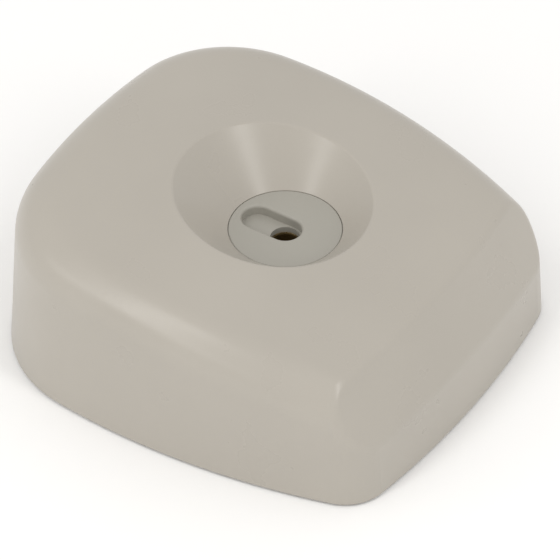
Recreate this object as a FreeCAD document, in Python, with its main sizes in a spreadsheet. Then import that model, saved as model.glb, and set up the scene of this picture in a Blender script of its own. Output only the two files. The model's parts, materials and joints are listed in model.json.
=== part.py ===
import FreeCAD, Part

# Counter-top magnetic tag detacher: a moulded wedge housing with a conical dish on a vertical
# axis, a drop-in nest insert at the bottom of the dish, and a clamped ring-magnet stack below it.
# Units are millimetres. +Z is up, -Y is the low front edge that faces the user, and the origin is
# the middle of the footprint on the counter.

import math
import os

import Sketcher
from FreeCAD import Placement, Rotation, Vector

X_AXIS = Vector(1, 0, 0)
Z_AXIS = Vector(0, 0, 1)
START, END, CENTRE = 1, 2, 3
ORIGIN_POINT = (-1, 1)
VERTICAL_AXIS = -2

# Driving dimensions: alias, value, meaning.
SIZES = [
    ("body_width", 110.0, "housing width at its lower rim, across the widest line"),
    ("body_depth", 118.5, "housing depth at its lower rim, front to rear"),
    ("side_bow_radius", 195.0, "plan radius of each bowed side"),
    ("side_bow_offset", 8.0, "how far the widest line lies behind the middle"),
    ("rear_bow_radius", 227.0, "plan radius of the rear wall"),
    ("front_bow_radius", 240.0, "plan radius of the front wall"),
    ("rear_corner_radius", 34.5, "plan radius of the two rear corners"),
    ("front_corner_radius", 12.0, "plan radius of the two front corners"),
    ("wall_draft", 3.8, "lean of the side walls, in degrees"),
    ("top_height", 44.5, "height of the top face above the middle of the footprint"),
    ("top_slope", 7.15, "rise of the top face towards the rear, in degrees"),
    ("crown_along", 315.0, "crown radius of the top face, front to rear"),
    ("crown_across", 330.0, "crown radius of the top face, side to side"),
    ("top_edge_radius", 11.5, "rounding between the top face and the side and rear walls"),
    ("bevel_reach", 10.6, "distance from the foot of the front wall back to the bevel's upper crease"),
    ("bevel_angle", 60.7, "steepness of the front bevel, in degrees"),
    ("bevel_bow_radius", 213.0, "bow of the bevel, seen along its slope"),
    ("bevel_edge_radius", 3.5, "rounding all round the bevel, whose edges run into each other"),
    ("wall", 2.6, "housing wall thickness"),
    ("foot_stand", 0.8, "gap between the housing's lower rim and the counter"),
    ("dish_setback", -4.4, "place of the dish axis behind the middle"),
    ("dish_floor", 33.6, "height of the nest insert's upper face"),
    ("dish_floor_radius", 14.25, "radius of the insert's socket at the bottom of the dish"),
    ("dish_flare", 47.5, "angle between the dish wall and its axis, in degrees"),
    ("dish_rim_radius", 0.9, "rounding of the dish rim"),
    ("insert_gap", 0.1, "radial clearance round the nest insert"),
    ("insert_thickness", 4.5, "thickness of the nest insert"),
    ("insert_edge_radius", 0.3, "rounding of the insert's upper edge"),
    ("nib_hole_radius", 3.75, "radius of the hole that takes the nib of a tag"),
    ("nib_recess_radius", 4.1, "end radius of the obround recess"),
    ("nib_recess_reach", 8.0, "distance between the recess's two end centres"),
    ("nib_recess_depth", 2.9, "depth of the obround recess"),
    ("nib_recess_edge", 0.8, "rounding of the recess rim"),
    ("guard_thickness", 1.0, "thickness of the stainless guard plate"),
    ("guard_hole_radius", 4.6, "radius of the hole in the guard plate"),
    ("liner_inner_radius", 4.0, "inside radius of the brass bore liner"),
    ("liner_outer_radius", 4.9, "outside radius of the brass bore liner"),
    ("inner_magnet_radius", 10.5, "outside radius of the inner ring magnet"),
    ("outer_magnet_inside", 13.5, "inside radius of the outer ring magnet"),
    ("outer_magnet_radius", 20.0, "outside radius of the outer ring magnet"),
    ("cup_wall", 3.0, "wall and floor thickness of the steel flux cup"),
    ("stack_gap", 0.1, "radial clearance between the nested rings"),
    ("skirt_gap", 0.3, "radial clearance between the flux cup and the housing's skirt"),
    ("skirt_wall", 2.0, "thickness of the skirt that locates the flux cup"),
    ("skirt_overlap", 6.0, "how far the skirt reaches down over the flux cup"),
    ("pad_thickness", 1.0, "thickness of the rubber pad under the flux cup"),
    ("pad_margin", 1.5, "how far the pad stays inside the flux cup's edge"),
    ("strap_thickness", 2.0, "thickness of the steel clamp strap"),
    ("strap_width", 16.0, "width of the clamp strap"),
    ("boss_merge", 0.9, "how far the clamp bosses sink into the skirt"),
    ("clamp_boss_radius", 4.6, "radius of the clamp bosses"),
    ("clamp_screw_radius", 2.0, "thread radius of the clamp screws"),
    ("clamp_screw_length", 10.0, "length of the clamp screws under the head"),
    ("clamp_head_radius", 3.8, "head radius of the clamp screws"),
    ("clamp_head_height", 1.9, "head height of the clamp screws"),
    ("head_clearance", 1.3, "gap between the clamp screws' heads and the base plate"),
    ("washer_thickness", 0.5, "thickness of the spring washers"),
    ("washer_radius", 3.6, "outside radius of the spring washers"),
    ("insert_nut_radius", 2.8, "outside radius of the brass threaded inserts"),
    ("insert_nut_length", 6.0, "length of the brass threaded inserts"),
    ("screw_clearance", 0.2, "radial clearance of a screw in a plain hole"),
    ("thread_gap", 0.05, "radial clearance of a screw in its thread"),
    ("plate_recess", 0.7, "how far the base plate lies above the housing's lower rim"),
    ("plate_thickness", 2.5, "thickness of the base plate"),
    ("plate_gap", 0.25, "clearance between the base plate and the housing wall"),
    ("base_screw_offset", 42.0, "sideways place of the base screws"),
    ("base_screw_rear", 22.0, "place of the rear base screws behind the middle"),
    ("base_screw_front", 30.0, "place of the front base screws in front of the middle"),
    ("base_boss_radius", 4.2, "radius of the base screw bosses"),
    ("base_screw_radius", 1.75, "thread radius of the base screws"),
    ("base_screw_length", 14.0, "overall length of the countersunk base screws"),
    ("base_head_radius", 3.4, "head radius of the countersunk base screws"),
    ("rib_thickness", 1.6, "thickness of the housing's inner ribs"),
    ("fixing_pitch", 72.0, "distance between the two counter fixing threads"),
    ("fixing_radius", 2.1, "radius of the counter fixing threads"),
    ("clinch_radius", 3.0, "radius of the clinch nuts where they pass through the plate"),
    ("clinch_head_radius", 4.4, "radius of the clinch nuts above the plate"),
    ("clinch_head_height", 3.0, "height of the clinch nuts above the plate"),
    ("foot_radius", 7.0, "radius of the rubber feet"),
    ("foot_edge_radius", 0.5, "rounding of the feet's lower edge"),
    ("foot_rear_offset", 32.0, "sideways place of the rear feet"),
    ("foot_rear_setback", 40.0, "place of the rear feet behind the middle"),
    ("foot_front_offset", 36.0, "sideways place of the front feet"),
    ("foot_front_setback", 41.0, "place of the front feet in front of the middle"),
]

doc = FreeCAD.newDocument("tag_detacher")
sheet = doc.addObject("Spreadsheet::Sheet", "sizes")
for row, (alias, value, meaning) in enumerate(SIZES, start=1):
    sheet.set(f"A{row}", alias)
    sheet.set(f"B{row}", str(value))
    sheet.set(f"C{row}", meaning)
    sheet.setAlias(f"B{row}", alias)
doc.recompute()


def cell(alias):
    """Return the text that names a sheet cell in an expression."""
    return f"sizes.{alias}"


def number(expression):
    """Return the value of an expression of the sheet's cells."""
    return float(sheet.evalExpression(str(expression)))


def size(alias):
    """Return a sheet cell's number."""
    return number(cell(alias))


# Heights, as expressions of the sheet's cells. The guard plate hangs under the insert's socket, the
# clamp stands over the base plate, and the magnets fill what is left between the two.
SOCKET_BASE = "(sizes.dish_floor - sizes.insert_thickness)"
GUARD_BASE = f"({SOCKET_BASE} - sizes.guard_thickness)"
PLATE_BASE = "(sizes.foot_stand + sizes.plate_recess)"
PLATE_TOP = f"({PLATE_BASE} + sizes.plate_thickness)"
HEAD_BASE = f"({PLATE_TOP} + sizes.head_clearance)"
WASHER_BASE = f"({HEAD_BASE} + sizes.clamp_head_height)"
STRAP_BASE = f"({WASHER_BASE} + sizes.washer_thickness)"
STRAP_TOP = f"({STRAP_BASE} + sizes.strap_thickness)"
CUP_BASE = f"({STRAP_TOP} + sizes.pad_thickness)"
MAGNET_BASE = f"({CUP_BASE} + sizes.cup_wall)"
MAGNET_LENGTH = f"({GUARD_BASE} - {MAGNET_BASE})"
CUP_RADIUS = "(sizes.outer_magnet_radius + sizes.stack_gap + sizes.cup_wall)"
SKIRT_RADIUS = f"({CUP_RADIUS} + sizes.skirt_gap + sizes.skirt_wall)"
CLAMP_REACH = f"({SKIRT_RADIUS} + sizes.clamp_boss_radius - sizes.boss_merge)"
ABOVE_TOP = "(sizes.top_height * 2)"
BEVEL_START = "(sizes.body_depth / 2 - sizes.bevel_reach)"


def bind(thing, **expressions):
    """Bind properties to expressions; a double underscore in a name stands for a dot."""
    for name, expression in expressions.items():
        thing.setExpression(name.replace("__", "."), str(expression))


def place(thing, across="0", along="0", up="0"):
    """Bind an object's position to expressions."""
    bind(thing, Placement__Base__x=across, Placement__Base__y=along, Placement__Base__z=up)


def add(kind, name, **expressions):
    """Add an object to the document and bind its properties."""
    thing = doc.addObject(kind, name)
    thing.Label = name
    bind(thing, **expressions)
    return thing


def cylinder(name, radius, height, across="0", along=cell("dish_setback"), up="0"):
    """Upright cylinder, on the dish axis unless it is told otherwise."""
    thing = add("Part::Cylinder", name, Radius=radius, Height=height)
    place(thing, across, along, up)
    return thing


def cut(name, base, tool):
    thing = add("Part::Cut", name)
    thing.Base = base
    thing.Tool = tool
    return thing


def fuse(name, pieces):
    thing = add("Part::MultiFuse", name)
    thing.Shapes = pieces
    return thing


def ring(name, outer, inner, height, up, along=cell("dish_setback"), across="0"):
    """Plain ring on an upright axis."""
    solid = cylinder(f"{name}_solid", outer, height, across, along, up)
    bore = cylinder(f"{name}_bore", inner, height, across, along, up)
    return cut(name, solid, bore)


def new_body(name):
    body = doc.addObject("PartDesign::Body", name)
    body.Label = name
    return body


def new_sketch(body, name, plane):
    """Sketch on one of the body's own origin planes."""
    sketch = body.newObject("Sketcher::SketchObject", name)
    planes = [item for item in body.Origin.OriginFeatures if item.Role == plane]
    sketch.AttachmentSupport = (planes[0], "")
    sketch.MapMode = "FlatFace"
    return sketch


def constrain(sketch, name, expression, *constraint):
    """Add a named dimension to a sketch and bind it."""
    sketch.addConstraint(Sketcher.Constraint(*constraint, number(expression)))
    index = sketch.ConstraintCount - 1
    sketch.renameConstraint(index, name)
    sketch.setExpression(f"Constraints.{name}", expression)


def inner_tangent_centre(centre_a, radius_a, centre_b, radius_b, radius, side):
    """Centre of the circle inside circles a and b that touches both, towards side."""
    from_a = radius_a - radius
    from_b = radius_b - radius
    gap = (centre_b - centre_a).Length
    along = (from_a**2 - from_b**2 + gap**2) / (2 * gap)
    off = math.sqrt(from_a**2 - along**2)
    unit = (centre_b - centre_a).normalize()
    across = Vector(-unit.y, unit.x, 0)
    middle = centre_a + unit * along
    return max([middle + across * off, middle - across * off], key=side.dot)


def angle_from(centre, point):
    return math.atan2(point.y - centre.y, point.x - centre.x)


def arc(centre, radius, start, end):
    return Part.ArcOfCircle(Part.Circle(centre, Z_AXIS, radius), start, end)


def draw_footprint(sketch, inset):
    """Closed outline of eight tangent arcs: bowed sides, rear and front, and four corners."""
    half_width = size("body_width") / 2
    half_depth = size("body_depth") / 2
    side_r = size("side_bow_radius")
    rear_r = size("rear_bow_radius")
    front_r = size("front_bow_radius")
    side = Vector(half_width - side_r, size("side_bow_offset"), 0)
    rear = Vector(0, half_depth - rear_r, 0)
    front = Vector(0, front_r - half_depth, 0)
    rear_corner_r = size("rear_corner_radius")
    front_corner_r = size("front_corner_radius")
    to_rear = Vector(1, 1, 0)
    to_front = Vector(1, -1, 0)
    rear_corner = inner_tangent_centre(side, side_r, rear, rear_r, rear_corner_r, to_rear)
    front_corner = inner_tangent_centre(side, side_r, front, front_r, front_corner_r, to_front)
    front_turn = angle_from(front, front_corner)
    side_start = angle_from(side, front_corner)
    side_end = angle_from(side, rear_corner)
    rear_turn = angle_from(rear, rear_corner)

    def mirrored(point):
        return Vector(-point.x, point.y, 0)

    half_turn = math.pi
    arcs = [
        (side, side_r, side_start, side_end),
        (rear_corner, rear_corner_r, side_end, rear_turn),
        (rear, rear_r, rear_turn, half_turn - rear_turn),
        (mirrored(rear_corner), rear_corner_r, half_turn - rear_turn, half_turn - side_end),
        (mirrored(side), side_r, half_turn - side_end, half_turn - side_start),
        (mirrored(front_corner), front_corner_r, half_turn - side_start, half_turn - front_turn),
        (front, front_r, half_turn - front_turn, 2 * half_turn + front_turn),
        (front_corner, front_corner_r, front_turn, side_start),
    ]
    offset = number(inset)
    for centre, radius, start, end in arcs:
        sketch.addGeometry(arc(centre, radius - offset, start, end), False)
    for index in range(len(arcs)):
        following = (index + 1) % len(arcs)
        sketch.addConstraint(Sketcher.Constraint("Tangent", index, END, following, START))
    sketch.addConstraint(Sketcher.Constraint("Symmetric", 0, CENTRE, 4, CENTRE, VERTICAL_AXIS))
    for index in (2, 6):
        on_axis = Sketcher.Constraint("PointOnObject", index, CENTRE, VERTICAL_AXIS)
        sketch.addConstraint(on_axis)
    for index, twin in ((0, 4), (1, 3), (7, 5)):
        sketch.addConstraint(Sketcher.Constraint("Equal", index, twin))
    radii = {"side": 0, "rear_corner": 1, "rear": 2, "front": 6, "front_corner": 7}
    cells = {"side": "side_bow_radius", "rear": "rear_bow_radius", "front": "front_bow_radius"}
    for name, index in radii.items():
        alias = cells.get(name, f"{name}_radius")
        constrain(sketch, f"{name}_r", f"{cell(alias)} - {inset}", "Radius", index)
    side_place = f"{cell('body_width')} / 2 - {cell('side_bow_radius')}"
    rear_place = f"{cell('body_depth')} / 2 - {cell('rear_bow_radius')}"
    front_place = f"{cell('front_bow_radius')} - {cell('body_depth')} / 2"
    side_y = cell("side_bow_offset")
    constrain(sketch, "side_x", side_place, "DistanceX", *ORIGIN_POINT, 0, CENTRE)
    constrain(sketch, "side_y", side_y, "DistanceY", *ORIGIN_POINT, 0, CENTRE)
    constrain(sketch, "rear_y", rear_place, "DistanceY", *ORIGIN_POINT, 2, CENTRE)
    constrain(sketch, "front_y", front_place, "DistanceY", *ORIGIN_POINT, 6, CENTRE)


def add_feature(body, kind, name, profile, **expressions):
    """Add a sketch-based feature to a body and bind its sizes."""
    feature = body.newObject(f"PartDesign::{kind}", name)
    feature.Profile = profile
    profile.Visibility = False
    bind(feature, **expressions)
    return feature


def round_edges(body, name, radius, chosen):
    """Fillet the edges of the body's tip that chosen(edge, faces) accepts."""
    doc.recompute()
    base = body.Tip
    shape = base.Shape
    names = []
    for index, edge in enumerate(shape.Edges, start=1):
        if chosen(edge, shape.ancestorsOfType(edge, Part.Face)):
            names.append(f"Edge{index}")
    fillet = body.newObject("PartDesign::Fillet", name)
    fillet.Base = (base, names)
    bind(fillet, Radius=radius)
    return fillet


def draw_loop(sketch, points):
    """Closed straight-sided outline; returns the number of its first line."""
    first = sketch.GeometryCount
    total = len(points)
    for index in range(total):
        line = Part.LineSegment(points[index], points[(index + 1) % total])
        sketch.addGeometry(line, False)
    for index in range(total):
        following = first + (index + 1) % total
        sketch.addConstraint(
            Sketcher.Constraint("Coincident", first + index, END, following, START)
        )
    return first


def draw_profile(sketch, corners):
    """Closed outline of straight lines whose corners are pairs of expressions."""
    points = [Vector(number(x), number(y), 0) for x, y in corners]
    first = draw_loop(sketch, points)
    for index, (x, y) in enumerate(corners):
        corner = (first + index, START)
        if number(x) == 0:
            on_axis = Sketcher.Constraint("PointOnObject", *corner, VERTICAL_AXIS)
            sketch.addConstraint(on_axis)
        else:
            constrain(sketch, f"across_{index}", x, "DistanceX", *ORIGIN_POINT, *corner)
        constrain(sketch, f"up_{index}", y, "DistanceY", *ORIGIN_POINT, *corner)


def draw_cap(sketch, radius, centre_up, half_width, reach):
    """Region between a shallow arc and a straight line: over it, or under it if reach < 0."""
    r = number(radius)
    up = number(centre_up)
    half = number(half_width)
    far = number(reach)
    side = math.copysign(1, far)
    tip = up + side * math.sqrt(r * r - half * half)
    lean = math.asin(half / r)
    middle = side * math.pi / 2
    sketch.addGeometry(arc(Vector(0, up, 0), r, middle - lean, middle + lean), False)
    ends = [Vector(side * half, tip, 0), Vector(-side * half, tip, 0)]
    corners = [ends[1], Vector(ends[1].x, far, 0), Vector(ends[0].x, far, 0), ends[0]]
    for index in range(3):
        sketch.addGeometry(Part.LineSegment(corners[index], corners[index + 1]), False)
    for index in range(4):
        following = (index + 1) % 4
        sketch.addConstraint(
            Sketcher.Constraint("Coincident", index, END, following, START)
        )
    for index in (1, 3):
        sketch.addConstraint(Sketcher.Constraint("Vertical", index))
    sketch.addConstraint(Sketcher.Constraint("Horizontal", 2))
    sketch.addConstraint(Sketcher.Constraint("PointOnObject", 0, CENTRE, VERTICAL_AXIS))
    constrain(sketch, "radius", radius, "Radius", 0)
    constrain(sketch, "centre", centre_up, "DistanceY", *ORIGIN_POINT, 0, CENTRE)
    end_place = f"{side} * {half_width}"
    other_place = f"{-side} * {half_width}"
    constrain(sketch, "one_end", end_place, "DistanceX", *ORIGIN_POINT, 0, START)
    constrain(sketch, "other_end", other_place, "DistanceX", *ORIGIN_POINT, 0, END)
    constrain(sketch, "reach", reach, "DistanceY", *ORIGIN_POINT, 2, START)


# The top face is a shallow crown: an arc along the depth, turned about a far-away lengthwise axis,
# tilted by the slope. Its place at the bevel's crease follows from the same circle.
CROWN_AXIS_Y = "(sizes.crown_across * sin(sizes.top_slope))"
CROWN_AXIS_Z = "(sizes.top_height - sizes.crown_across * cos(sizes.top_slope))"
CROWN_ARC_Y = "(sizes.crown_along * sin(sizes.top_slope))"
CROWN_ARC_Z = "(sizes.top_height - sizes.crown_along * cos(sizes.top_slope))"
CREASE_Z = (
    f"({CROWN_ARC_Z} + sqrt(sizes.crown_along ^ 2"
    f" - ({BEVEL_START} + {CROWN_ARC_Y}) ^ 2))"
)


def is_crown(face):
    return "Revolution" in type(face.Surface).__name__


def is_bevel(face):
    surface = face.Surface
    return type(surface).__name__ == "Cylinder" and surface.Radius > size("body_width")


def wedge_body(name, inset, floor):
    """Drafted footprint cut by the crown, rounded along its top, then cut by the front bevel."""
    body = new_body(name)
    footprint = new_sketch(body, f"{name}_footprint", "XY_Plane")
    bind(footprint, AttachmentOffset__Base__z=floor)
    draw_footprint(footprint, inset)
    walls = add_feature(body, "Pad", f"{name}_walls", footprint, Length=ABOVE_TOP)
    walls.setExpression("TaperAngle", f"0 - {cell('wall_draft')}")

    crown = new_sketch(body, f"{name}_crown_section", "YZ_Plane")
    crown.AttachmentOffset = Placement(Vector(), Rotation(Z_AXIS, size("top_slope")))
    bind(crown, AttachmentOffset__Base__x=CROWN_AXIS_Y, AttachmentOffset__Base__y=CROWN_AXIS_Z,
         AttachmentOffset__Rotation__Angle=cell("top_slope"))
    draw_cap(
        crown,
        f"({cell('crown_along')} - {inset})",
        f"({cell('crown_across')} - {cell('crown_along')})",
        cell("body_depth") + " * 0.8",
        f"({cell('crown_across')} + {ABOVE_TOP} * 2)",
    )
    over = add_feature(body, "Groove", f"{name}_crown", crown)
    over.ReferenceAxis = (crown, ["H_Axis"])
    over.Midplane = True
    bind(over, Angle="4 * asin(sizes.body_width * 0.6 / sizes.crown_across)")

    def on_rim(edge, faces):
        return any(map(is_crown, faces))

    round_edges(body, f"{name}_top_edges", f"sizes.top_edge_radius - {inset}", on_rim)

    bevel = new_sketch(body, f"{name}_bevel_section", "XY_Plane")
    bevel.AttachmentOffset = Placement(
        Vector(), Rotation(-X_AXIS, 90 - size("bevel_angle"))
    )
    bind(bevel, AttachmentOffset__Base__y=f"0 - {BEVEL_START}",
         AttachmentOffset__Base__z=CREASE_Z)
    bevel.setExpression("AttachmentOffset.Rotation.Angle", "90 - sizes.bevel_angle")
    draw_cap(
        bevel,
        f"({cell('bevel_bow_radius')} - {inset})",
        cell("bevel_bow_radius"),
        cell("body_width") + " * 0.7",
        f"(0 - {cell('body_depth')})",
    )
    front = add_feature(body, "Pocket", f"{name}_bevel", bevel)
    front.Midplane = True
    bind(front, Length="sizes.top_height * 4")
    return body


def finish_outer_form(body):
    """Round the bevel, then sink the dish and its socket and round the dish rim."""
    def on_crease(edge, faces):
        return any(map(is_bevel, faces)) and any(map(is_crown, faces))

    round_edges(body, "bevel_edges", cell("bevel_edge_radius"), on_crease)
    section = new_sketch(body, "dish_section", "YZ_Plane")
    bind(section, AttachmentOffset__Base__x=cell("dish_setback"))
    below = f"({SOCKET_BASE} - sizes.wall)"
    rise = "sizes.top_height / 2"
    draw_profile(section, [
        ("0", below),
        (cell("dish_floor_radius"), below),
        (cell("dish_floor_radius"), cell("dish_floor")),
        (f"sizes.dish_floor_radius + {rise} * tan(sizes.dish_flare)", f"sizes.dish_floor + {rise}"),
        ("0", f"sizes.dish_floor + {rise}"),
    ])
    dish = add_feature(body, "Groove", "dish", section)
    dish.ReferenceAxis = (section, ["V_Axis"])

    def on_dish_rim(edge, faces):
        cones = [face for face in faces if is_dish_wall(face)]
        return bool(cones) and any(map(is_crown, faces))

    round_edges(body, "dish_rim", cell("dish_rim_radius"), on_dish_rim)


def is_dish_wall(face):
    surface = face.Surface
    upright = type(surface).__name__ == "Cone" and abs(surface.Axis.z) > 0.999
    return upright and abs(abs(surface.SemiAngle) - math.radians(size("dish_flare"))) < 0.01


def dish_wall_block():
    """Solid of revolution that backs the dish and carries the insert's socket."""
    body = new_body("dish_wall_block")
    place(body, "0", cell("dish_setback"))
    section = new_sketch(body, "dish_wall_section", "XZ_Plane")
    thick = "sizes.wall"
    rise = "sizes.top_height / 2"
    slant = f"({thick} * tan((90 - sizes.dish_flare) / 2))"
    foot = f"(sizes.dish_floor_radius + {thick})"
    draw_profile(section, [
        ("0", SOCKET_BASE),
        (foot, SOCKET_BASE),
        (foot, f"sizes.dish_floor - {slant}"),
        (f"{foot} + {rise} * tan(sizes.dish_flare)", f"sizes.dish_floor - {slant} + {rise}"),
        ("0", f"sizes.dish_floor - {slant} + {rise}"),
    ])
    turned = add_feature(body, "Revolution", "dish_wall_turned", section)
    turned.ReferenceAxis = (section, ["V_Axis"])
    return body


CLAMP_SIDES = {"left": -1, "right": 1}
CORNERS = {
    "front_left": (-1, -1),
    "front_right": (1, -1),
    "rear_left": (-1, 1),
    "rear_right": (1, 1),
}


def clamp_place(sign):
    return {"across": f"{sign} * {CLAMP_REACH}", "along": cell("dish_setback")}


def base_screw_place(corner):
    across, along = CORNERS[corner]
    alias = "base_screw_rear" if along > 0 else "base_screw_front"
    return {"across": f"{across} * sizes.base_screw_offset", "along": f"{along} * {cell(alias)}"}


def foot_place(corner):
    across, along = CORNERS[corner]
    end = "rear" if along > 0 else "front"
    return {
        "across": f"{across} * sizes.foot_{end}_offset",
        "along": f"{along} * sizes.foot_{end}_setback",
    }


def inner_works():
    """Bosses, skirt and ribs inside the housing, before they are trimmed to its outer form."""
    pieces = [dish_wall_block()]
    skirt_base = f"({GUARD_BASE} - sizes.skirt_overlap)"
    skirt_inside = f"({SKIRT_RADIUS} - sizes.skirt_wall)"
    pieces.append(ring("skirt", SKIRT_RADIUS, skirt_inside, ABOVE_TOP, skirt_base))
    for side, sign in CLAMP_SIDES.items():
        boss = cylinder(f"clamp_boss_{side}", cell("clamp_boss_radius"), ABOVE_TOP,
                        up=STRAP_TOP, **clamp_place(sign))
        pieces.append(boss)
    for corner, (across, along) in CORNERS.items():
        where = base_screw_place(corner)
        boss = cylinder(f"base_boss_{corner}", cell("base_boss_radius"), ABOVE_TOP,
                        up=PLATE_TOP, **where)
        rib = add("Part::Box", f"boss_rib_{corner}", Length="sizes.body_width / 2",
                  Width=cell("rib_thickness"), Height=ABOVE_TOP)
        start = where["across"] if across > 0 else f"{where['across']} - sizes.body_width / 2"
        place(rib, start, f"{where['along']} - sizes.rib_thickness / 2", f"{PLATE_TOP} + 1")
        pieces.extend([boss, rib])
    for end, sign in {"front": -1, "rear": 1}.items():
        rib = add("Part::Box", f"skirt_rib_{end}", Length=cell("rib_thickness"),
                  Width="sizes.body_depth / 2", Height=ABOVE_TOP)
        near = f"sizes.dish_setback + {skirt_inside} + sizes.skirt_wall / 2"
        start = near if sign > 0 else f"2 * sizes.dish_setback - ({near}) - sizes.body_depth / 2"
        place(rib, "0 - sizes.rib_thickness / 2", start, skirt_base)
        pieces.append(rib)
    return fuse("inner_works", pieces)


def build_top_housing():
    outer = wedge_body("outer_form", "0", cell("foot_stand"))
    finish_outer_form(outer)
    cavity = wedge_body("cavity_form", cell("wall"), "0")
    shell = cut("housing_shell", outer, cavity)
    trimmed = add("Part::Common", "inner_works_trimmed")
    trimmed.Base = inner_works()
    trimmed.Tool = outer
    whole = fuse("housing_blank", [shell, trimmed])
    holes = []
    for side, sign in CLAMP_SIDES.items():
        holes.append(cylinder(f"insert_hole_{side}", cell("insert_nut_radius"),
                              "sizes.insert_nut_length + sizes.clamp_screw_length / 2",
                              up=STRAP_TOP, **clamp_place(sign)))
    for corner in CORNERS:
        holes.append(cylinder(f"base_hole_{corner}", "sizes.base_screw_radius + sizes.thread_gap",
                              "sizes.base_screw_length", up=PLATE_TOP,
                              **base_screw_place(corner)))
    return cut("top_housing", whole, fuse("housing_holes", holes))


def build_nest_insert():
    """Drop-in disc with a through hole on the dish axis and an obround recess to its rear."""
    body = new_body("nest_insert")
    place(body, "0", cell("dish_setback"), SOCKET_BASE)
    outline = new_sketch(body, "insert_outline", "XY_Plane")
    radius = "sizes.dish_floor_radius - sizes.insert_gap"
    outline.addGeometry(Part.Circle(Vector(), Z_AXIS, number(radius)), False)
    outline.addConstraint(Sketcher.Constraint("Coincident", 0, CENTRE, *ORIGIN_POINT))
    constrain(outline, "disc_radius", radius, "Radius", 0)
    add_feature(body, "Pad", "insert_disc", outline, Length=cell("insert_thickness"))

    slot = new_sketch(body, "recess_outline", "XY_Plane")
    bind(slot, AttachmentOffset__Base__z=cell("insert_thickness"))
    end_r = size("nib_recess_radius")
    reach = size("nib_recess_reach")
    slot.addGeometry(arc(Vector(), end_r, math.pi, 2 * math.pi), False)
    slot.addGeometry(Part.LineSegment(Vector(end_r, 0, 0), Vector(end_r, reach, 0)), False)
    slot.addGeometry(arc(Vector(0, reach, 0), end_r, 0, math.pi), False)
    slot.addGeometry(Part.LineSegment(Vector(-end_r, reach, 0), Vector(-end_r, 0, 0)), False)
    for index in range(4):
        slot.addConstraint(
            Sketcher.Constraint("Tangent", index, END, (index + 1) % 4, START)
        )
    slot.addConstraint(Sketcher.Constraint("Coincident", 0, CENTRE, *ORIGIN_POINT))
    slot.addConstraint(Sketcher.Constraint("Vertical", 1))
    constrain(slot, "end_radius", cell("nib_recess_radius"), "Radius", 0)
    constrain(slot, "reach", cell("nib_recess_reach"), "DistanceY", 0, CENTRE, 2, CENTRE)
    add_feature(body, "Pocket", "nib_recess", slot, Length=cell("nib_recess_depth"))

    hole = new_sketch(body, "nib_hole_outline", "XY_Plane")
    bind(hole, AttachmentOffset__Base__z=cell("insert_thickness"))
    hole.addGeometry(Part.Circle(Vector(), Z_AXIS, size("nib_hole_radius")), False)
    hole.addConstraint(Sketcher.Constraint("Coincident", 0, CENTRE, *ORIGIN_POINT))
    constrain(hole, "hole_radius", cell("nib_hole_radius"), "Radius", 0)
    add_feature(body, "Pocket", "nib_hole", hole, Length="sizes.insert_thickness * 2")

    def at_top(edge):
        box = edge.BoundBox
        return min(box.ZMin, size("insert_thickness")) > size("insert_thickness") - 0.01

    def on_recess_rim(edge, faces):
        return at_top(edge) and edge.BoundBox.YLength < size("dish_floor_radius")

    def on_outer_rim(edge, faces):
        return at_top(edge) and edge.BoundBox.YLength > size("dish_floor_radius")

    round_edges(body, "recess_rim", cell("nib_recess_edge"), on_recess_rim)
    round_edges(body, "insert_rim", cell("insert_edge_radius"), on_outer_rim)
    return body


def build_magnet_stack():
    gap = cell("stack_gap")
    inner_r = cell("inner_magnet_radius")
    outer_inside = cell("outer_magnet_inside")
    liner_r = cell("liner_outer_radius")
    guard = ring("guard_plate", CUP_RADIUS, cell("guard_hole_radius"),
                 cell("guard_thickness"), GUARD_BASE)
    liner = ring("bore_liner", liner_r, cell("liner_inner_radius"), MAGNET_LENGTH,
                 MAGNET_BASE)
    inner = ring("inner_ring_magnet", inner_r, f"{liner_r} + {gap}", MAGNET_LENGTH,
                 MAGNET_BASE)
    spacer = ring("magnet_spacer", f"{outer_inside} - {gap}", f"{inner_r} + {gap}",
                  MAGNET_LENGTH, MAGNET_BASE)
    magnet = ring("outer_ring_magnet", cell("outer_magnet_radius"), outer_inside,
                  MAGNET_LENGTH, MAGNET_BASE)
    cup_blank = cylinder("cup_blank", CUP_RADIUS, f"{GUARD_BASE} - {CUP_BASE}", up=CUP_BASE)
    cup_bore = cylinder("cup_bore", f"sizes.outer_magnet_radius + {gap}", f"{MAGNET_LENGTH} * 2",
                        up=MAGNET_BASE)
    cup = cut("flux_cup", cup_blank, cup_bore)
    pad = cylinder("clamp_pad", f"{CUP_RADIUS} - sizes.pad_margin", cell("pad_thickness"),
                   up=STRAP_TOP)
    return [guard, liner, inner, spacer, magnet, cup, pad]


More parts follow.
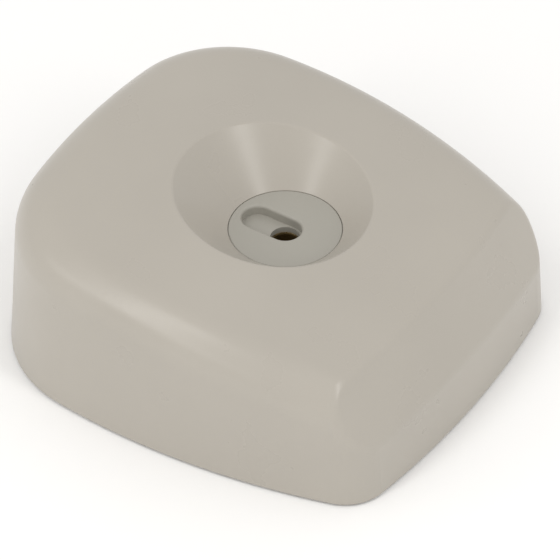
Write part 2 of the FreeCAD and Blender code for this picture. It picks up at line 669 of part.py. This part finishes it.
def build_clamp():
    """Strap under the flux cup, with its screws, spring washers and threaded inserts."""
    bar = add("Part::Box", "strap_bar", Length=f"2 * {CLAMP_REACH}", Width=cell("strap_width"),
              Height=cell("strap_thickness"))
    place(bar, f"0 - {CLAMP_REACH}", "sizes.dish_setback - sizes.strap_width / 2",
          STRAP_BASE)
    ends = [bar]
    holes = []
    screws = []
    washers = []
    nuts = []
    for side, sign in CLAMP_SIDES.items():
        where = clamp_place(sign)
        ends.append(cylinder(f"strap_end_{side}", "sizes.strap_width / 2",
                             cell("strap_thickness"), up=STRAP_BASE, **where))
        holes.append(cylinder(f"strap_hole_{side}",
                              "sizes.clamp_screw_radius + sizes.screw_clearance",
                              "sizes.strap_thickness * 2",
                              up=f"{STRAP_BASE} - sizes.strap_thickness / 2", **where))
        washers.append(ring(f"clamp_washer_{side}", cell("washer_radius"),
                            "sizes.clamp_screw_radius + sizes.screw_clearance",
                            cell("washer_thickness"), WASHER_BASE, where["along"],
                            where["across"]))
        shank = cylinder(f"clamp_shank_{side}", cell("clamp_screw_radius"),
                         cell("clamp_screw_length"), up=WASHER_BASE, **where)
        head = cylinder(f"clamp_head_{side}", cell("clamp_head_radius"),
                        cell("clamp_head_height"), up=HEAD_BASE, **where)
        screws.append(fuse(f"clamp_screw_{side}", [shank, head]))
        nuts.append(ring(f"clamp_insert_{side}", cell("insert_nut_radius"),
                         "sizes.clamp_screw_radius + sizes.thread_gap",
                         cell("insert_nut_length"), STRAP_TOP, where["along"],
                         where["across"]))
    strap = cut("clamp_strap", fuse("strap_blank", ends), fuse("strap_holes", holes))
    return [
        strap,
        group("clamp_inserts", nuts),
        group("clamp_screws", screws),
        group("clamp_washers", washers),
    ]


def group(name, pieces):
    """Identical pieces in one node, as separate solids."""
    thing = add("Part::Compound", name)
    thing.Links = pieces
    return thing


def build_base():
    """Base plate with its countersunk screws, and the clinch nuts for the counter fixings."""
    body = new_body("base_plate_blank")
    outline = new_sketch(body, "base_plate_outline", "XY_Plane")
    bind(outline, AttachmentOffset__Base__z=PLATE_BASE)
    draw_footprint(outline, "(sizes.wall + sizes.plate_gap)")
    slab = add_feature(body, "Pad", "base_plate_slab", outline, Length=cell("plate_thickness"))
    slab.setExpression("TaperAngle", f"0 - {cell('wall_draft')}")
    tools = []
    screws = []
    head_height = "(sizes.base_head_radius - sizes.base_screw_radius)"
    for corner in CORNERS:
        where = base_screw_place(corner)
        slack = "sizes.screw_clearance"
        tools.append(cylinder(f"plate_hole_{corner}", f"sizes.base_screw_radius + {slack}",
                              "sizes.plate_thickness * 2", up="0", **where))
        sink = add("Part::Cone", f"plate_sink_{corner}",
                   Radius1=f"sizes.base_head_radius + {slack}",
                   Radius2=f"sizes.base_screw_radius + {slack}", Height=head_height)
        place(sink, where["across"], where["along"], PLATE_BASE)
        tools.append(sink)
        shank = cylinder(f"base_shank_{corner}", cell("base_screw_radius"),
                         cell("base_screw_length"), up=PLATE_BASE, **where)
        head = add("Part::Cone", f"base_head_{corner}", Radius1=cell("base_head_radius"),
                   Radius2=cell("base_screw_radius"), Height=head_height)
        place(head, where["across"], where["along"], PLATE_BASE)
        screws.append(fuse(f"base_screw_{corner}", [shank, head]))
    nuts = []
    for end, sign in {"front": -1, "rear": 1}.items():
        along = f"sizes.dish_setback + {sign} * sizes.fixing_pitch / 2"
        tools.append(cylinder(f"clinch_hole_{end}", cell("clinch_radius"),
                              "sizes.plate_thickness * 2", along=along))
        neck = cylinder(f"clinch_neck_{end}", cell("clinch_radius"), cell("plate_thickness"),
                        along=along, up=PLATE_BASE)
        crown = cylinder(f"clinch_crown_{end}", cell("clinch_head_radius"),
                         cell("clinch_head_height"), along=along, up=PLATE_TOP)
        thread = cylinder(f"clinch_thread_{end}", cell("fixing_radius"), cell("top_height"),
                          along=along)
        nut = fuse(f"clinch_blank_{end}", [neck, crown])
        nuts.append(cut(f"counter_nut_{end}", nut, thread))
    plate = cut("base_plate", body, fuse("plate_holes", tools))
    return [plate, group("base_screws", screws), group("counter_nuts", nuts)]


def build_foot(corner):
    """Rubber foot between the base plate and the counter."""
    body = new_body(f"foot_{corner}")
    where = foot_place(corner)
    place(body, where["across"], where["along"])
    outline = new_sketch(body, f"foot_{corner}_outline", "XY_Plane")
    outline.addGeometry(Part.Circle(Vector(), Z_AXIS, size("foot_radius")), False)
    outline.addConstraint(Sketcher.Constraint("Coincident", 0, CENTRE, *ORIGIN_POINT))
    constrain(outline, "foot_radius", cell("foot_radius"), "Radius", 0)
    add_feature(body, "Pad", f"foot_{corner}_pad", outline, Length=PLATE_BASE)

    def at_counter(edge, faces):
        return edge.BoundBox.ZMax < 0.01

    round_edges(body, f"foot_{corner}_edge", cell("foot_edge_radius"), at_counter)
    return body


sub_parts = [build_top_housing(), build_nest_insert()]
sub_parts += build_magnet_stack()
sub_parts += build_clamp()
sub_parts += build_base()
sub_parts += [build_foot(corner) for corner in CORNERS]
doc.recompute()

for thing in doc.Objects:
    if "Invalid" in thing.State or "Error" in thing.State:
        raise RuntimeError(f"{thing.Label} failed: {thing.State} {thing.getStatusString()}")
for thing in sub_parts:
    shape = thing.Shape
    if shape.isNull() or not shape.isValid() or not shape.Solids:
        raise RuntimeError(f"{thing.Label} has no valid solid")
    print(f"{thing.Label}: {len(shape.Solids)} solid(s), {shape.Volume:.1f} mm3")

os.makedirs("parts", exist_ok=True)
for thing in sub_parts:
    thing.Shape.exportStep(os.path.join("parts", f"{thing.Label}.step"))
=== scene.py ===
import json
import math

import bpy
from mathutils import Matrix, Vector


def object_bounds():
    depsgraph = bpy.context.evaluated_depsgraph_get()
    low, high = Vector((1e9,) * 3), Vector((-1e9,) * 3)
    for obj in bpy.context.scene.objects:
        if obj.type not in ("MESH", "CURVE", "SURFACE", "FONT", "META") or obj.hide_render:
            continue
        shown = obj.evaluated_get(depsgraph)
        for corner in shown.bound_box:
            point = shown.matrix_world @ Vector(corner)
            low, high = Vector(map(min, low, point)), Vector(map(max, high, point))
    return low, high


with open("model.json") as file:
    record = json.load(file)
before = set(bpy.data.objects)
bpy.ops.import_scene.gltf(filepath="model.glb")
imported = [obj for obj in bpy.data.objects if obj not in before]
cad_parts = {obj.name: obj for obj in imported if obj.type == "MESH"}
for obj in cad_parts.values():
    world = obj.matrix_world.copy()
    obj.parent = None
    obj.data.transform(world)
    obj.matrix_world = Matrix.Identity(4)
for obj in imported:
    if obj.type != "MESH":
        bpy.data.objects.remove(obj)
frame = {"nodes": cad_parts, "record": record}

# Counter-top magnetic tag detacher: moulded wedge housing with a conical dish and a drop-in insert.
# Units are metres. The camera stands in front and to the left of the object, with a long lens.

cad_box = [list(corner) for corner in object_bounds()]

MM = 0.001
FLOOR_HEIGHT = cad_box[0][2] - 0.02 * MM

# Camera: its direction from the object, in degrees, and how it is aimed.
CAMERA_AZIMUTH = -57.0
CAMERA_ELEVATION = 42.45
CAMERA_DISTANCE = 1.120
CAMERA_LENS = 289.3
SENSOR = 36.0
AIM_HEIGHT = 22.8 * MM
AIM_RIGHT = 2.4 * MM
AIM_DOWN = 6.4 * MM

# Studio: sizes in metres, powers in watts, angles in degrees from the camera's own direction.
WORLD_COLOUR = (1.0, 0.99, 0.975)
WORLD_STRENGTH = 0.82
FLOOR_SIZE = 6.0
LIGHT_COLOUR = (1.0, 0.985, 0.96)
LIGHT_DISTANCE = 1.2
BOX_TURN = 52
BOX_ELEVATION = 48
BOX_WIDTH = 0.17
BOX_HEIGHT = 0.9
BOX_WATTS = 2.7
STRIP_TURN = -61
STRIP_ELEVATION = 26
STRIP_WIDTH = 1.1
STRIP_HEIGHT = 0.14
STRIP_WATTS = 1.05


def view_axes(azimuth, elevation):
    """Unit vectors towards the viewer, to the viewer's right and upwards."""
    a = math.radians(azimuth)
    e = math.radians(elevation)
    back = Vector((math.sin(a) * math.cos(e), -math.cos(a) * math.cos(e), math.sin(e)))
    right = Vector((math.cos(a), math.sin(a), 0))
    return back, right, back.cross(right)


def make_camera():
    back, right, up = view_axes(CAMERA_AZIMUTH, CAMERA_ELEVATION)
    aim = Vector((0, 0, AIM_HEIGHT)) + right * AIM_RIGHT - up * AIM_DOWN
    data = bpy.data.cameras.new("camera")
    data.lens = CAMERA_LENS
    data.sensor_width = SENSOR
    data.clip_start = 0.01
    data.dof.use_dof = False
    camera = bpy.data.objects.new("camera", data)
    camera.location = aim + back * CAMERA_DISTANCE
    camera.rotation_euler = back.to_track_quat("Z", "Y").to_euler()
    bpy.context.scene.collection.objects.link(camera)
    bpy.context.scene.camera = camera


def make_light(name, turn, elevation, width, height, watts):
    """Soft rectangular light that faces the object, turned from the camera's direction."""
    back, _, _ = view_axes(CAMERA_AZIMUTH + turn, elevation)
    data = bpy.data.lights.new(name, "AREA")
    data.shape = "RECTANGLE"
    data.size = width
    data.size_y = height
    data.energy = watts
    data.color = LIGHT_COLOUR
    light = bpy.data.objects.new(name, data)
    light.location = Vector((0, 0, AIM_HEIGHT)) + back * LIGHT_DISTANCE
    light.rotation_euler = back.to_track_quat("Z", "Y").to_euler()
    bpy.context.scene.collection.objects.link(light)


def make_studio():
    """Pale floor, an even white surround, two soft boxes and a low strip along the left side."""
    world = bpy.data.worlds.new("studio")
    world.use_nodes = True
    background = world.node_tree.nodes["Background"]
    background.inputs["Color"].default_value = (*WORLD_COLOUR, 1)
    background.inputs["Strength"].default_value = WORLD_STRENGTH
    bpy.context.scene.world = world
    bpy.context.scene.view_settings.view_transform = "Standard"

    mesh = bpy.data.meshes.new("floor")
    half = FLOOR_SIZE / 2
    corners = [(-half, -half, 0), (half, -half, 0), (half, half, 0), (-half, half, 0)]
    mesh.from_pydata(corners, [], [(0, 1, 2, 3)])
    floor = bpy.data.objects.new("floor", mesh)
    floor.location.z = FLOOR_HEIGHT
    bpy.context.scene.collection.objects.link(floor)
    mesh.materials.append(floor_material())

    for name, side in (("box_left", -1), ("box_right", 1)):
        make_light(name, side * BOX_TURN, BOX_ELEVATION, BOX_WIDTH, BOX_HEIGHT, BOX_WATTS)
    make_light(
        "strip_left", STRIP_TURN, STRIP_ELEVATION, STRIP_WIDTH, STRIP_HEIGHT, STRIP_WATTS
    )


class Nodes:
    """Small helper that adds nodes to one material and links them."""

    def __init__(self, name):
        self.material = bpy.data.materials.new(name)
        self.material.use_nodes = True
        self.tree = self.material.node_tree
        self.shader = self.tree.nodes["Principled BSDF"]

    def add(self, kind, **values):
        """Add a node; keys are its sockets' names, with underscores for spaces, or its properties."""
        node = self.tree.nodes.new(kind)
        for key, value in values.items():
            socket = node.inputs.get(key.replace("_", " "))
            if socket is None:
                setattr(node, key, value)
            elif isinstance(value, bpy.types.NodeSocket):
                self.tree.links.new(value, socket)
            else:
                socket.default_value = value
        return node

    def join(self, output, node, socket):
        self.tree.links.new(output, node.inputs[socket])

    def coordinates(self):
        return self.add("ShaderNodeTexCoord").outputs["Object"]

    def noise(self, scale, detail=3.0, roughness=0.5):
        noise = self.add("ShaderNodeTexNoise", Scale=scale, Detail=detail, Roughness=roughness)
        self.join(self.coordinates(), noise, "Vector")
        return noise.outputs["Fac"]

    def ramp(self, value, stops):
        """Colour ramp; stops are pairs of position and colour."""
        ramp = self.add("ShaderNodeValToRGB")
        self.join(value, ramp, "Fac")
        elements = ramp.color_ramp.elements
        while len(elements) < len(stops):
            elements.new(0.5)
        for element, (position, colour) in zip(elements, stops):
            element.position = position
            element.color = (*colour, 1)
        return ramp.outputs["Color"]

    def mix(self, factor, first, second, blend="MIX"):
        """Mix two colours; each may be a socket or a tuple."""
        mix = self.tree.nodes.new("ShaderNodeMix")
        mix.data_type = "RGBA"
        mix.blend_type = blend
        sockets = (mix.inputs[0], mix.inputs[6], mix.inputs[7])
        for socket, value in zip(sockets, (factor, first, second)):
            if isinstance(value, bpy.types.NodeSocket):
                self.tree.links.new(value, socket)
            elif isinstance(value, tuple):
                socket.default_value = (*value, 1)
            else:
                socket.default_value = value
        return mix.outputs[2]

    def spread(self, value, low, high, out_low, out_high):
        """Map a range of values to another, clamped."""
        node = self.add("ShaderNodeMapRange")
        self.join(value, node, "Value")
        limits = {"From Min": low, "From Max": high, "To Min": out_low, "To Max": out_high}
        for name, number in limits.items():
            node.inputs[name].default_value = number
        return node.outputs["Result"]

    def bump(self, height, distance, strength=1.0, base=None):
        node = self.add("ShaderNodeBump", Strength=strength, Distance=distance)
        self.join(height, node, "Height")
        if base is not None:
            self.join(base, node, "Normal")
        return node.outputs["Normal"]

    def finish(self, **values):
        """Set or link the shader's sockets and return the material."""
        for key, value in values.items():
            socket = self.shader.inputs[key.replace("_", " ")]
            if isinstance(value, bpy.types.NodeSocket):
                self.tree.links.new(value, socket)
            else:
                socket.default_value = value
        return self.material


def shade(colour, factor):
    return tuple(channel * factor for channel in colour)


def floor_material():
    kit = Nodes("floor_paper")
    tone = kit.ramp(kit.noise(3.0), [(0.3, (0.955, 0.955, 0.955)), (0.7, (0.97, 0.97, 0.97))])
    return kit.finish(Base_Color=tone, Roughness=0.9)


def moulded_plastic(name, colour, roughness, specks):
    """Satin moulded plastic: faint cloudiness, a fine spark-eroded grain and a few dark specks."""
    kit = Nodes(name)
    cloud = kit.ramp(
        kit.noise(28.0, 4.0),
        [(0.15, shade(colour, 0.955)), (0.85, shade(colour, 1.035))],
    )
    grain = kit.noise(2400.0, 2.0)
    base = kit.mix(kit.spread(grain, 0.4, 0.6, 0.0, 0.04), cloud, shade(colour, 0.86))
    if specks:
        cells = kit.add("ShaderNodeTexVoronoi", Scale=90.0, Randomness=1.0)
        kit.join(kit.coordinates(), cells, "Vector")
        dot = kit.spread(cells.outputs["Distance"], 0.022, 0.045, 1.0, 0.0)
        rare = kit.add("ShaderNodeSeparateColor")
        kit.join(cells.outputs["Color"], rare, "Color")
        chosen = kit.spread(rare.outputs[0], 0.988, 0.99, 0.0, 1.0)
        both = kit.add("ShaderNodeMath", operation="MULTIPLY")
        kit.tree.links.new(dot, both.inputs[0])
        kit.tree.links.new(chosen, both.inputs[1])
        base = kit.mix(both.outputs[0], base, shade(colour, 0.55))
    wear = kit.spread(kit.noise(60.0, 5.0), 0.15, 0.85, roughness - 0.05, roughness + 0.06)
    fine = kit.bump(grain, 0.004 * MM, 0.35)
    broad = kit.bump(kit.noise(45.0, 2.0), 0.05 * MM, 0.15, fine)
    return kit.finish(Base_Color=base, Roughness=wear, Normal=broad, IOR=1.5)


def turned_metal(name, colour, roughness, metallic=1.0):
    """Metal with fine concentric tool marks about an upright axis."""
    kit = Nodes(name)
    rings = kit.add("ShaderNodeTexWave", wave_type="RINGS", rings_direction="Z",
                    Scale=900.0, Distortion=1.5, Detail=2.0)
    kit.join(kit.coordinates(), rings, "Vector")
    tone = kit.ramp(rings.outputs["Fac"], [(0.2, shade(colour, 0.93)), (0.8, shade(colour, 1.03))])
    stain = kit.mix(kit.spread(kit.noise(120.0, 5.0), 0.45, 0.75, 0.0, 0.25), tone, shade(colour, 0.75))
    rough = kit.spread(kit.noise(300.0), 0.3, 0.7, roughness - 0.05, roughness + 0.08)
    normal = kit.bump(rings.outputs["Fac"], 0.004 * MM, 0.5)
    return kit.finish(Base_Color=stain, Roughness=rough, Normal=normal, Metallic=metallic)


def plated_metal(name, colour, roughness):
    """Bright plated steel with a faint cloudy film."""
    kit = Nodes(name)
    film = kit.ramp(
        kit.noise(160.0, 5.0), [(0.35, shade(colour, 0.88)), (0.7, shade(colour, 1.04))]
    )
    rough = kit.spread(kit.noise(90.0, 6.0), 0.3, 0.7, roughness - 0.06, roughness + 0.1)
    normal = kit.bump(kit.noise(1800.0), 0.004 * MM, 0.3)
    return kit.finish(Base_Color=film, Roughness=rough, Normal=normal, Metallic=1.0)


def powder_coat(name, colour):
    kit = Nodes(name)
    peel = kit.noise(700.0, 2.0)
    tone = kit.ramp(peel, [(0.3, shade(colour, 0.92)), (0.7, shade(colour, 1.05))])
    rough = kit.spread(kit.noise(50.0, 5.0), 0.3, 0.7, 0.42, 0.55)
    return kit.finish(Base_Color=tone, Roughness=rough, Normal=kit.bump(peel, 0.03 * MM, 0.5))


def moulded_rubber(name, colour):
    kit = Nodes(name)
    bloom = kit.ramp(kit.noise(200.0, 5.0), [(0.35, colour), (0.75, shade(colour, 1.8))])
    rough = kit.spread(kit.noise(400.0), 0.3, 0.7, 0.7, 0.88)
    return kit.finish(Base_Color=bloom, Roughness=rough,
                      Normal=kit.bump(kit.noise(1500.0), 0.02 * MM, 0.5))


HOUSING_COLOUR = (0.428, 0.399, 0.352)
INSERT_COLOUR = (0.368, 0.354, 0.314)

make_camera()
make_studio()

finishes = {
    "housing_plastic": moulded_plastic("housing_plastic", HOUSING_COLOUR, 0.29, True),
    "insert_plastic": moulded_plastic("insert_plastic", INSERT_COLOUR, 0.50, False),
    "stainless": turned_metal("stainless", (0.60, 0.59, 0.57), 0.30),
    "brass": turned_metal("brass", (0.42, 0.31, 0.15), 0.45),
    "magnet_plating": plated_metal("magnet_plating", (0.68, 0.67, 0.64), 0.18),
    "aluminium": turned_metal("aluminium", (0.76, 0.77, 0.78), 0.30),
    "soft_steel": turned_metal("soft_steel", (0.46, 0.46, 0.47), 0.36),
    "zinc_steel": plated_metal("zinc_steel", (0.62, 0.64, 0.66), 0.30),
    "plate_paint": powder_coat("plate_paint", (0.30, 0.29, 0.275)),
    "rubber": moulded_rubber("rubber", (0.03, 0.03, 0.03)),
}

for row in frame["record"]["subparts"]:
    node_object = frame["nodes"][row["node"]]
    if not node_object.material_slots:
        node_object.data.materials.append(None)
    for slot in node_object.material_slots:
        slot.material = finishes[row["material_slot"]]
